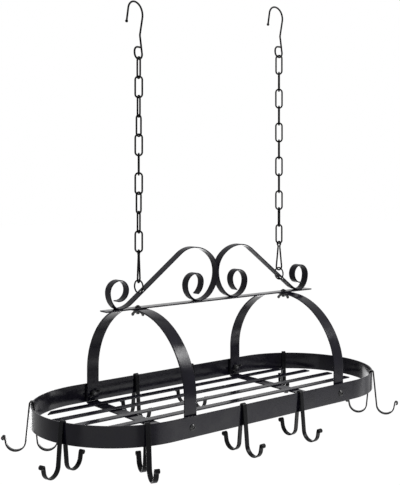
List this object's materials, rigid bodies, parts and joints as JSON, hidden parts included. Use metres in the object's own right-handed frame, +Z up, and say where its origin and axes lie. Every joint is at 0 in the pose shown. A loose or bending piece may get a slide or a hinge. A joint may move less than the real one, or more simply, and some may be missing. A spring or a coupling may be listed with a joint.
{
  "type": "hanging pot rack",
  "caption": "Oval hanging pot rack of black steel strap: slatted basket on two arches, top bar with scrolls, chains with ceiling hooks, and loose double pot hooks on the rim.",
  "frame": {"origin": "Midway between the two ceiling hooks, at the mean height of the inside of the bends that hang on the ceiling", "axes": "+Z up, +X along the rack and its top bar, -Y the front side"},
  "size_m": [0.7744, 0.4042, 0.8097],
  "materials": {
    "strap_coat": "satin black powder coat on flat steel strap",
    "scroll_coat": "satin black powder coat on bent strip",
    "chain_coat": "black coated steel wire and rod",
    "hook_coat": "satin black coat, slightly rubbed at the saddle",
    "fastener_black": "black oxide bolts and wing nuts"
  },
  "bodies": {
    "ceiling_hooks": {"ceiling_hook_left": "chain_coat", "ceiling_hook_right": "chain_coat"},
    "left_top_link": {"left_link_1": "chain_coat"},
    "left_chain": {"left_link_2": "chain_coat", "left_link_3": "chain_coat", "left_link_4": "chain_coat", "left_link_5": "chain_coat", "left_link_6": "chain_coat", "left_link_7": "chain_coat", "left_link_8": "chain_coat", "left_link_9": "chain_coat", "left_link_10": "chain_coat", "tapered_link_left": "chain_coat"},
    "left_ring": {"ring_left": "chain_coat"},
    "rack": {"rim": "strap_coat", "slat_1": "strap_coat", "slat_2": "strap_coat", "slat_3": "strap_coat", "slat_4": "strap_coat", "slat_5": "strap_coat", "slat_6": "strap_coat", "crossbar_left": "strap_coat", "crossbar_right": "strap_coat", "arch_left": "strap_coat", "arch_right": "strap_coat", "top_bar": "strap_coat", "scroll_left": "scroll_coat", "scroll_right": "scroll_coat", "rim_bolts": "fastener_black", "rim_wing_nuts": "fastener_black", "top_bolts": "fastener_black", "top_wing_nuts": "fastener_black"},
    "right_top_link": {"right_link_1": "chain_coat"},
    "right_chain": {"right_link_2": "chain_coat", "right_link_3": "chain_coat", "right_link_4": "chain_coat", "right_link_5": "chain_coat", "right_link_6": "chain_coat", "right_link_7": "chain_coat", "right_link_8": "chain_coat", "right_link_9": "chain_coat", "right_link_10": "chain_coat", "right_link_11": "chain_coat", "tapered_link_right": "chain_coat"},
    "right_ring": {"ring_right": "chain_coat"},
    "pot_hook_1": {"pot_hook_1": "hook_coat"},
    "pot_hook_2": {"pot_hook_2": "hook_coat"},
    "pot_hook_3": {"pot_hook_3": "hook_coat"},
    "pot_hook_4": {"pot_hook_4": "hook_coat"},
    "pot_hook_5": {"pot_hook_5": "hook_coat"},
    "pot_hook_6": {"pot_hook_6": "hook_coat"},
    "pot_hook_7": {"pot_hook_7": "hook_coat"},
    "pot_hook_8": {"pot_hook_8": "hook_coat"},
    "pot_hook_9": {"pot_hook_9": "hook_coat"}
  },
  "joints": [
    {"name": "left_cross_swing", "type": "hinge", "parent": "ceiling_hooks", "child": "left_top_link", "pos_m": [-0.172, 0.006, -0.1126], "axis": [0.9952, 0, 0.0981], "range_deg": [-20, 20]},
    {"name": "left_chain_swing", "type": "hinge", "parent": "left_top_link", "child": "left_chain", "pos_m": [-0.172, 0.006, -0.1465], "axis": [0, 1, 0], "range_deg": [-10, 10]},
    {"name": "left_ring_swing", "type": "hinge", "parent": "left_chain", "child": "left_ring", "pos_m": [-0.172, 0.006, -0.5047], "axis": [0, 1, 0], "range_deg": [-10, 10]},
    {"name": "rack_tilt", "type": "hinge", "parent": "left_ring", "child": "rack", "pos_m": [-0.172, 0.006, -0.51463], "axis": [1, 0, 0], "range_deg": [-12, 12]},
    {"name": "right_cross_swing", "type": "hinge", "parent": "ceiling_hooks", "child": "right_top_link", "pos_m": [0.172, 0.006, -0.0787], "axis": [0.9952, 0, 0.0981], "range_deg": [-20, 20]},
    {"name": "right_chain_swing", "type": "hinge", "parent": "right_top_link", "child": "right_chain", "pos_m": [0.172, 0.006, -0.1126], "axis": [0, 1, 0], "range_deg": [-10, 10]},
    {"name": "right_ring_swing", "type": "hinge", "parent": "right_chain", "child": "right_ring", "pos_m": [0.172, 0.006, -0.5047], "axis": [0, 1, 0], "range_deg": [-10, 10]},
    {"name": "pot_hook_1_turn", "type": "hinge", "parent": "rack", "child": "pot_hook_1", "pos_m": [-0.215, 0, -0.72423], "axis": [0, 0, 1], "range_deg": [-27, 21]},
    {"name": "pot_hook_2_turn", "type": "hinge", "parent": "rack", "child": "pot_hook_2", "pos_m": [-0.215, 0, -0.72423], "axis": [0, 0, 1], "range_deg": [-24, 14]},
    {"name": "pot_hook_3_slide", "type": "slide", "parent": "rack", "child": "pot_hook_3", "axis": [1, 0, 0], "range_m": [-0.083, 0.059]},
    {"name": "pot_hook_4_slide", "type": "slide", "parent": "rack", "child": "pot_hook_4", "axis": [1, 0, 0], "range_m": [-0.062, 0.08]},
    {"name": "pot_hook_5_turn", "type": "hinge", "parent": "rack", "child": "pot_hook_5", "pos_m": [0.215, 0, -0.72423], "axis": [0, 0, 1], "range_deg": [-31, 40]},
    {"name": "pot_hook_6_turn", "type": "hinge", "parent": "rack", "child": "pot_hook_6", "pos_m": [0.215, 0, -0.72423], "axis": [0, 0, 1], "range_deg": [-40, 31]},
    {"name": "pot_hook_7_slide", "type": "slide", "parent": "rack", "child": "pot_hook_7", "axis": [1, 0, 0], "range_m": [-0.055, 0.087]},
    {"name": "pot_hook_8_slide", "type": "slide", "parent": "rack", "child": "pot_hook_8", "axis": [1, 0, 0], "range_m": [-0.074, 0.068]},
    {"name": "pot_hook_9_turn", "type": "hinge", "parent": "rack", "child": "pot_hook_9", "pos_m": [-0.215, 0, -0.72423], "axis": [0, 0, 1], "range_deg": [-50, 22]}
  ],
  "couplings": [
    {"joint": "right_cross_swing", "follows": "left_cross_swing", "ratio": 1},
    {"joint": "left_ring_swing", "follows": "left_chain_swing", "ratio": -1},
    {"joint": "right_chain_swing", "follows": "left_chain_swing", "ratio": 0.91354},
    {"joint": "right_ring_swing", "follows": "left_chain_swing", "ratio": -0.91354}
  ]
}
